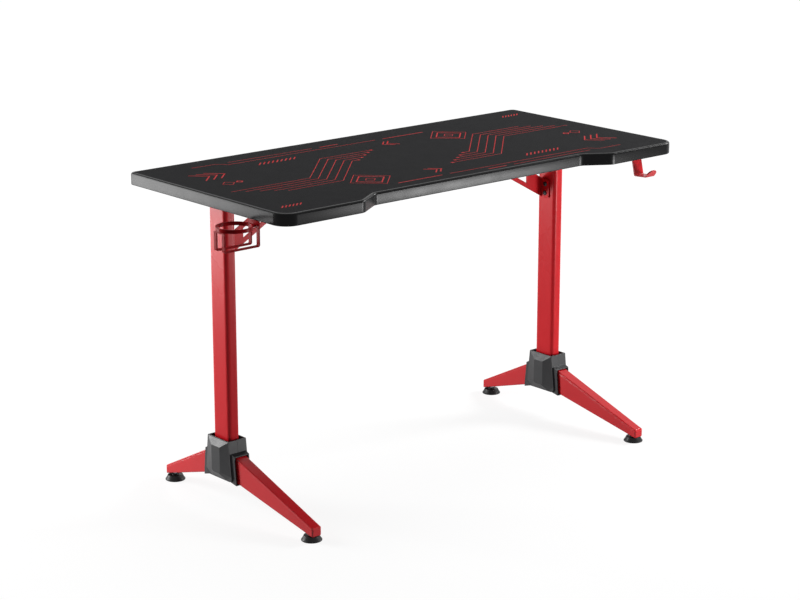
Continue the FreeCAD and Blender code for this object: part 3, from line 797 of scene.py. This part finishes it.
@dataclass
class Desktop:
    """Board, moulded edge round it and printed mat on it."""

    finishes: Finishes
    half_width: float = 0.600
    half_depth: float = 0.285
    recess_flat: float = 0.318
    recess_run: float = 0.062
    recess_depth: float = 0.040
    front_corner: float = 0.038
    back_corner: float = 0.015
    recess_round: float = 0.030
    corner_points: int = 25
    edge_width: float = 0.007
    edge_round: float = 0.005
    edge_points: int = 13
    under_round: float = 0.002
    under_points: int = 7
    ink_height: float = 0.0001

    def outline(self) -> tuple[np.ndarray, np.ndarray]:
        """Plan outline of the desktop and its inward normals.

        Returns:
            Points and normals, one row each.
        """
        wide, deep = self.half_width, self.half_depth
        corners = [(self.recess_flat, self.recess_depth - deep), (self.recess_flat + self.recess_run, -deep),
                   (wide, -deep), (wide, deep)]
        corners += [(-x, y) for x, y in reversed(corners)]
        radii = [self.recess_round, self.recess_round, self.front_corner, self.back_corner]
        radii += radii[::-1]
        points, normals = rounded_outline(np.array(corners), np.array(radii), self.corner_points)
        return points + (DESK_X, 0), normals

    def edge_profile(self, levels: Span) -> np.ndarray:
        """Section of the edge, rounded above and below.

        Args:
            levels: Lowest and highest Z.

        Returns:
            Inset from the outline and height, one row each.
        """
        low, high = levels
        top, under = self.edge_round, self.under_round
        return np.vstack((
            [(self.edge_width, low)],
            arc((under, low + under), under, 270, 180, self.under_points),
            arc((top, high - top), top, 180, 90, self.edge_points),
            [(self.edge_width, high)],
        ))

    def build_edge(self) -> None:
        """Carry the edge's section round the outline: the outline plus the inward normal times the inset."""
        low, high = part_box("desktop_edge")
        profile = self.edge_profile((low.z, high.z))
        points, normals = self.outline()
        plan = points[:, None, :] + normals[:, None, :] * profile[None, :, 0, None]
        height = np.broadcast_to(profile[None, :, 1, None], (*plan.shape[:2], 1))
        surface = Surface(np.concatenate((plan, height), axis=2), wrap_rows=True)
        make_piece("edge_moulding", [surface], self.finishes.materials[Slot.EDGE], ROOT_BODY,
                   ("desktop_edge",))

    def build_print(self) -> None:
        """Lay the printed lines on the mat."""
        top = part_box("desktop_mat")[1].z
        design = MatPrint((top - self.ink_height, top + self.ink_height))
        make_piece("mat_print", design.strips(), self.finishes.materials[Coat.INK], ROOT_BODY)

    def build(self) -> None:
        """Dress the board's nodes, and make the edge and the print."""
        self.finishes.dress(Slot.BOARD, ["desktop_core"])
        self.finishes.dress(Slot.EDGE, ["desktop_edge"])
        self.finishes.dress(Slot.MAT, ["desktop_mat"])
        self.build_edge()
        self.build_print()


@dataclass
class MatPrint:
    """Printed lines of the mat: traces with slanted jogs, chevrons, diamonds and hatching.

    All of it is drawn once, mostly on the left half, and once more after half a turn.
    Plan sizes are in millimetres from the middle of the desktop.
    """

    levels: Span
    fine: float = 1.6
    bold: float = 3.0
    trace_count: int = 5
    trace_start: Span = (-548, -34)
    trace_pitch: float = 17.0
    trace_stagger: float = 26.0
    jog_start: float = -330
    jog_drift: float = 0.6
    jog_rise: float = 150
    tail_length: float = 150
    tail_trim: float = 34
    dot_size: float = 7
    dot_gap: float = 5
    chevron_pitch: float = 0.62
    hatch_pitch: float = 0.7
    lines: list[tuple[np.ndarray, float, bool]] = field(default_factory=list)

    def add(self, corners: Iterable[Span], width: float, closed: bool = False) -> None:
        """Keep a line and its half-turned twin.

        Args:
            corners: Corners of the line.
            width: Its width.
            closed: Whether it comes back to its start.
        """
        path = np.array(list(corners), dtype=float)
        self.lines += [(path, width, closed), (-path, width, closed)]

    def square(self, centre: Span, size: float) -> None:
        """Small filled square, drawn as a short thick line."""
        (x, y), half = centre, size / 2
        self.add([(x - half, y), (x + half, y)], size)

    def diamond(self, centre: Span, size: float, width: float) -> None:
        """Outline of a square set on its corner."""
        x, y = centre
        self.add([(x - size, y), (x, y - size), (x + size, y), (x, y + size)], width, True)

    def chevrons(self, tip: Span, size: float, count: int) -> None:
        """Row of arrowheads that point along +X.

        Args:
            tip: Point of the first.
            size: Length and half breadth of each.
            count: Number of arrowheads.
        """
        for index in range(count):
            x, y = tip[0] - index * size * self.chevron_pitch, tip[1]
            self.add([(x - size, y + size), (x, y), (x - size, y - size)], self.bold)

    def hatching(self, start: Span, count: int, size: float) -> None:
        """Row of short slanted dashes.

        Args:
            start: Low end of the first.
            count: Number of dashes.
            size: Length of each along X and Y.
        """
        for index in range(count):
            x, y = start[0] + index * size * self.hatch_pitch, start[1]
            self.add([(x, y), (x + size, y + size)], self.bold)

    def traces(self) -> None:
        """Parallel lines that run in from the side and jog to the back, each ending in a small square."""
        for index in range(self.trace_count):
            shift = index * self.trace_pitch
            start, level = self.trace_start[0] + self.trace_stagger * index, self.trace_start[1] - shift
            jog, high = self.jog_start + self.jog_drift * shift, level + self.jog_rise
            end = jog + self.jog_rise + self.tail_length - self.tail_trim * index
            self.add([(start, level), (jog, level), (jog + self.jog_rise, high), (end, high)], self.fine)
            self.square((end + self.dot_gap, high), self.dot_size)

    def rails(self) -> None:
        """Long broken lines along the front and back of the mat."""
        self.add([(-470, 224), (-402, 224), (-380, 202), (60, 202)], self.fine)
        self.add([(84, 202), (214, 202)], self.bold)
        self.add([(-368, 222), (-120, 222)], self.fine)
        self.add([(-96, 222), (-40, 222)], self.bold)

    def diamonds(self) -> None:
        """Three nested diamonds near the front, and a small pair at the side."""
        for size, width in ((58, self.fine), (40, self.bold), (14, self.fine)):
            self.diamond((-236, -132), size, width)
        self.diamond((-500, 40), 16, self.fine)
        self.diamond((-470, 40), 8, self.bold)

    def strips(self) -> list[Surface]:
        """Draw the whole design.

        Returns:
            One strip for each line.
        """
        self.traces()
        self.rails()
        self.chevrons(tip=(-446, 128), size=34, count=3)
        self.chevrons(tip=(-40, -150), size=22, count=2)
        self.diamonds()
        self.hatching(start=(-330, 152), count=9, size=18)
        self.hatching(start=(-560, -228), count=6, size=14)
        offset = np.array((DESK_X, 0.0))
        return [ribbon(path * MM + offset, width * MM, self.levels, closed)
                for path, width, closed in self.lines]


@dataclass
class Leveller:
    """Threaded stud and floor pad of one foot."""

    finishes: Finishes
    side: Side
    end: End
    pitch: float = 0.00125
    groove: float = 0.0007
    rim: float = 0.0025
    rim_round: float = 0.0006
    rim_step: float = 0.0005
    cone_top: float = 0.012
    cone_radius: float = 0.018
    cone_round: float = 0.0007
    neck_radius: float = 0.0085
    neck_flare: float = 0.0008
    neck_round: float = 0.0005
    hollow: float = 0.0003
    sole_dish: float = 0.0008
    dish_share: float = 0.6
    sole_share: float = 0.66
    round_points: int = 5
    flank_points: int = 15
    pad_columns: int = 72
    stud_columns: int = 32

    @property
    def tail(self) -> str:
        """End of the node names of this foot's pieces."""
        return f"{self.end.value}_{self.side.value}"

    def pad_profile(self, radius: float, height: float) -> np.ndarray:
        """Section of the pad: rounded rim, hollow flank that dips by a sine arch, and a neck.

        Args:
            radius: Radius of the rim.
            height: Height of the neck's top.

        Returns:
            Height and radius, one row each.
        """
        share = np.linspace(0, 1, self.flank_points)
        shoulder, start, end = self.cone_top - self.cone_round, radius - self.rim_step, self.cone_radius
        flank = np.column_stack((
            self.rim + (shoulder - self.rim) * share,
            start + (end - start) * share - self.hollow * np.sin(np.pi * share),
        ))
        dish, sole = radius * self.dish_share, radius * self.sole_share
        rim, cone, neck, count = self.rim_round, self.cone_round, self.neck_round, self.round_points
        return np.vstack((
            [(self.sole_dish, POLE), (self.sole_dish, dish), (0, sole)],
            arc((rim, radius - rim), rim, 180, 90, count),
            arc((self.rim - rim, radius - rim), rim, 90, 0, count),
            flank,
            arc((shoulder, end - cone), cone, 90, 0, count),
            [(self.cone_top, self.neck_radius + self.neck_flare), (self.cone_top + neck, self.neck_radius)],
            arc((height - neck, self.neck_radius - neck), neck, 90, 0, count),
            [(height, POLE)],
        ))

    def build_pad(self) -> None:
        """Spin the pad's section about its upright axis."""
        node = f"pad_{self.tail}"
        low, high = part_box(node)
        middle = np.array(((low.x + high.x) / 2, (low.y + high.y) / 2, low.z))
        profile = self.pad_profile((high.x - low.x) / 2, high.z - low.z)
        surface = Lathe(Axis.Z, middle, self.pad_columns).spin(profile)
        make_piece(f"floor_{node}", [surface], self.finishes.materials[Slot.PAD], node, (node,))

    def build_thread(self) -> None:
        """Cut the stud's thread about its upright axis."""
        node = f"stud_{self.tail}"
        low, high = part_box(node)
        middle = np.array(((low.x + high.x) / 2, (low.y + high.y) / 2, 0.0))
        lathe = Lathe(Axis.Z, middle, self.stud_columns)
        surface = lathe.thread((low.z, high.z), (high.x - low.x) / 2, self.pitch, self.groove)
        make_piece(f"thread_{self.tail}", [surface], self.finishes.materials[Slot.ZINC], node,
                   (node,))

    def build(self) -> None:
        """Dress the nut, the stud and the pad, and make the pad and the stud's thread."""
        self.finishes.dress(Slot.ZINC, [f"nut_{self.tail}", f"stud_{self.tail}"])
        self.finishes.dress(Slot.PAD, [f"pad_{self.tail}"])
        self.build_pad()
        self.build_thread()


@dataclass
class Leg:
    """Column, brace, feet and base cover of one side."""

    finishes: Finishes
    side: Side
    bolt_radius: float = 0.003
    bolt_tip: float = 0.8
    bolt_chamfer: float = 0.0005
    bolt_head: float = 0.006
    bolt_head_height: float = 0.0035
    dome_sweep: float = 70
    dome_rise: float = 0.94
    dome_reach: float = 0.48
    dome_points: int = 7
    socket: float = 0.0022
    socket_mouth: float = 1.25
    socket_depth: float = 0.0021

    def bolt_profile(self, tip: float, top: float) -> tuple[np.ndarray, np.ndarray]:
        """Section of a bolt along X: plain shank, domed head and a hexagon socket.

        The dome is part of a circle's arc: its height is a share of the sine, and its radius is a fixed
        share of the head plus the rest times the cosine.

        Args:
            tip: X at the shank's end.
            top: X at the head's crown.

        Returns:
            X and radius, one row each, and True for each point on a hexagon.
        """
        inward = math.copysign(1.0, top - tip)
        seat = top - inward * self.bolt_head_height
        dome = arc((0, 0), 1, 0, self.dome_sweep, self.dome_points)
        rim = np.column_stack((
            top - inward * self.bolt_head_height * (1 - self.dome_rise * dome[:, 1]),
            self.bolt_head * (1 - self.dome_reach + self.dome_reach * dome[:, 0]),
        ))
        face = rim[-1, 0]
        floor = face - inward * self.socket_depth
        profile = np.vstack((
            [(tip, self.bolt_radius * self.bolt_tip), (tip + inward * self.bolt_chamfer, self.bolt_radius),
             (seat, self.bolt_radius), (seat, self.bolt_head)],
            rim,
            [(face, self.socket * self.socket_mouth), (face, self.socket),
             (floor, self.socket), (floor, POLE)],
        ))
        hexed = np.zeros(len(profile), dtype=bool)
        hexed[-3:-1] = True
        return profile, hexed

    def build_bolts(self) -> None:
        """Spin the brace's two bolts, whose heads are on the leg's inner side."""
        node = f"brace_bolts_{self.side.value}"
        low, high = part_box(node)
        tip, top = (low.x, high.x) if self.side is Side.LEFT else (high.x, low.x)
        profile, hexed = self.bolt_profile(tip, top)
        middle_y = (low.y + high.y) / 2
        levels = (low.z + self.bolt_head, high.z - self.bolt_head)
        bolts = [Lathe(Axis.X, np.array((0.0, middle_y, level))).spin(profile, hexed) for level in levels]
        make_piece(f"brace_bolt_heads_{self.side.value}", bolts, self.finishes.materials[Slot.SCREW],
                   ROOT_BODY, (node,))

    def build(self) -> None:
        """Dress the leg's nodes, and make its bolts and levellers."""
        side = self.side.value
        self.finishes.dress(Coat.TUBE, [f"column_{side}"])
        self.finishes.dress(Coat.FOOT, [f"foot_{end.value}_{side}" for end in End])
        self.finishes.dress(Coat.BRACE, [f"brace_{side}"])
        self.finishes.dress(Slot.STEEL, [f"head_plate_{side}", f"hub_{side}"])
        self.finishes.dress(Slot.ZINC, [f"hub_clamps_{side}"])
        self.finishes.dress(Slot.SCREW, [f"{part}_screws_{side}" for part in ("plate", "brace", "cover")])
        self.finishes.dress(Slot.SCREW, [f"brace_bolts_{side}"])
        self.finishes.dress(Slot.COVER, [f"cover_{half}_{side}" for half in ("outer", "inner")])
        self.build_bolts()
        for end in End:
            Leveller(self.finishes, self.side, end).build()


@dataclass
class CupHolder:
    """Ring beside the desktop with its slotted stirrup."""

    finishes: Finishes

    def build(self) -> None:
        """Dress the cup holder's nodes."""
        self.finishes.dress(Coat.CUP, ["cup_ring", "cup_strap"])
        self.finishes.dress(Slot.SCREW, ["cup_screws"])


@dataclass
class HeadsetHook:
    """Bent strap under the desktop's right end."""

    finishes: Finishes

    def build(self) -> None:
        """Dress the hook's nodes."""
        self.finishes.dress(Slot.PAINT, ["headset_hook"])
        self.finishes.dress(Slot.SCREW, ["hook_screws"])


def split_by_ray(tree: bpy.types.NodeTree, rest: Socket, seen: Socket, output: Socket) -> None:
    """Show one shader to rays from the camera, mirrors and glass, and another to the rest.

    Args:
        tree: Node tree that the shaders are in.
        rest: Shader for the rays that light the object.
        seen: Shader for the rays that see the background.
        output: Input that takes the chosen shader.
    """
    nodes, links = tree.nodes, tree.links
    path = nodes.new("ShaderNodeLightPath")
    direct = path.outputs["Is Camera Ray"]
    for name in ("Is Glossy Ray", "Is Transmission Ray"):
        either = nodes.new("ShaderNodeMath")
        either.operation = "MAXIMUM"
        links.new(direct, either.inputs[0])
        links.new(path.outputs[name], either.inputs[1])
        direct = either.outputs["Value"]
    choice = nodes.new("ShaderNodeMixShader")
    for source, target in zip((direct, rest, seen), choice.inputs):
        links.new(source, target)
    links.new(choice.outputs["Shader"], output)


@dataclass(frozen=True)
class PaleFloor:
    """Pale floor that looks white, keeps the object's shadow and throws some light back."""

    name: str = "floor_white"
    shade: Rgb = (0.45, 0.45, 0.45)
    catch: Rgb = (0.17, 0.17, 0.17)
    glow: Span = (0.86, 1.0)
    glow_span: Span = (1.2, 3.5)

    def whiteness(self, tree: bpy.types.NodeTree) -> Socket:
        """Floor's own whiteness, which is full beyond the reach of the lamps.

        Args:
            tree: Node tree of the floor's material.

        Returns:
            Strength that grows with the distance from the origin.
        """
        place = tree.nodes.new("ShaderNodeTexCoord")
        length = tree.nodes.new("ShaderNodeVectorMath")
        length.operation = "LENGTH"
        tree.links.new(place.outputs["Object"], length.inputs[0])
        grade = tree.nodes.new("ShaderNodeMapRange")
        for name, value in zip(RANGE_INPUTS, (*self.glow_span, *self.glow)):
            grade.inputs[name].default_value = value
        tree.links.new(length.outputs["Value"], grade.inputs["Value"])
        return grade.outputs["Result"]

    def make(self) -> bpy.types.Material:
        """Make the material: a plain matt floor for light, and a glowing one that takes shadows for the eye.

        Returns:
            The material.
        """
        material = bpy.data.materials.new(self.name)
        material.use_nodes = True
        tree = material.node_tree
        nodes, links = tree.nodes, tree.links
        nodes.clear()
        matt, caught = nodes.new("ShaderNodeBsdfDiffuse"), nodes.new("ShaderNodeBsdfDiffuse")
        matt.inputs["Color"].default_value = (*self.shade, 1.0)
        caught.inputs["Color"].default_value = (*self.catch, 1.0)
        glow, both = nodes.new("ShaderNodeEmission"), nodes.new("ShaderNodeAddShader")
        links.new(self.whiteness(tree), glow.inputs["Strength"])
        links.new(glow.outputs["Emission"], both.inputs[0])
        links.new(caught.outputs["BSDF"], both.inputs[1])
        output = nodes.new("ShaderNodeOutputMaterial")
        split_by_ray(tree, matt.outputs["BSDF"], both.outputs["Shader"], output.inputs["Surface"])
        return material


@dataclass(frozen=True)
class Lamp:
    """Oblong soft lamp that looks at a point."""

    name: str
    place: Rgb
    target: Rgb
    size: Span
    power: float

    def hang(self) -> None:
        """Add the lamp, unseen by the camera."""
        data = bpy.data.lights.new(self.name, "AREA")
        data.shape = "RECTANGLE"
        data.size, data.size_y = self.size
        data.energy = self.power
        lamp = bpy.data.objects.new(self.name, data)
        bpy.context.scene.collection.objects.link(lamp)
        lamp.location = self.place
        aim = np.array(self.target) - np.array(self.place)
        flat = math.hypot(aim[0], aim[1])
        lamp.rotation_euler = (math.atan2(flat, -aim[2]), 0.0, math.atan2(-aim[0], aim[1]))
        lamp.visible_camera = False


@dataclass
class Studio:
    """Pale floor, soft lamps, white surroundings and the camera."""

    floor_half: float = 30.0
    floor_lines: int = 13
    ambient: float = 0.06
    lens: float = 99.576
    sensor: float = 36.0
    view_reach: float = 100.0
    camera_place: Rgb = (-3.29675, -3.8228, 1.7972)
    camera_pitch: float = 74.623
    camera_heading: float = -40.839
    lamps: tuple[Lamp, ...] = (
        Lamp("lamp_top", (0.3, 0.5, 3.2), (0.15, 0.0, 0.4), (2.0, 2.0), 33.0),
        Lamp("lamp_left", (-1.659, 1.914, 0.91), (-0.379, 0.064, 0.91), (1.0, 1.8), 78.0),
        Lamp("lamp_right", (2.35, -0.65, 1.7), (0.5, 0.0, 0.4), (0.7, 0.7), 54.0),
        Lamp("lamp_low", (1.44, -1.9, 0.18), (0.04, -0.285, 0.736), (0.55, 0.3), 28.0),
    )

    def lay_floor(self) -> None:
        """Flat floor: X and Y are the two parameters of the grid and Z is zero."""
        line = np.linspace(-self.floor_half, self.floor_half, self.floor_lines)
        x, y = np.meshgrid(line, line)
        points = np.stack((x, y, np.zeros_like(x)), axis=-1)
        quads, _ = Surface(points, wrap_columns=False).faces()
        mesh = bpy.data.meshes.new("floor")
        mesh.from_pydata(points.reshape(-1, 3).tolist(), [], quads.tolist())
        mesh.materials.append(PaleFloor().make())
        floor = bpy.data.objects.new("floor", mesh)
        bpy.context.scene.collection.objects.link(floor)

    def surround(self) -> None:
        """White surroundings to the eye, a plain soft light to the object."""
        world = bpy.data.worlds.new("surroundings")
        bpy.context.scene.world = world
        world.use_nodes = True
        nodes = world.node_tree.nodes
        nodes.clear()
        seen, soft = nodes.new("ShaderNodeBackground"), nodes.new("ShaderNodeBackground")
        for backdrop, strength in ((seen, 1.0), (soft, self.ambient)):
            backdrop.inputs["Color"].default_value = (1.0, 1.0, 1.0, 1.0)
            backdrop.inputs["Strength"].default_value = strength
        output = nodes.new("ShaderNodeOutputWorld")
        split_by_ray(world.node_tree, soft.outputs["Background"], seen.outputs["Background"],
                     output.inputs["Surface"])

    def aim_camera(self) -> None:
        """Put the camera at the picture's viewpoint."""
        data = bpy.data.cameras.new("camera")
        data.sensor_fit = "HORIZONTAL"
        data.sensor_width = self.sensor
        data.lens = self.lens
        data.clip_end = self.view_reach
        camera = bpy.data.objects.new("camera", data)
        bpy.context.scene.collection.objects.link(camera)
        camera.location = self.camera_place
        camera.rotation_euler = (math.radians(self.camera_pitch), 0.0, math.radians(self.camera_heading))
        bpy.context.scene.camera = camera

    def build(self) -> None:
        """Set up floor, surroundings, lamps, camera and plain view."""
        self.lay_floor()
        self.surround()
        for lamp in self.lamps:
            lamp.hang()
        self.aim_camera()
        bpy.context.scene.view_settings.view_transform = "Standard"


def main() -> None:
    """Build the studio and the desk's sub-assemblies in order."""
    logging.basicConfig(level=logging.INFO, format="%(message)s")
    Studio().build()
    finishes = Finishes()
    Desktop(finishes).build()
    for side in Side:
        Leg(finishes, side).build()
    CupHolder(finishes).build()
    HeadsetHook(finishes).build()


if __name__ == "__main__":
    main()
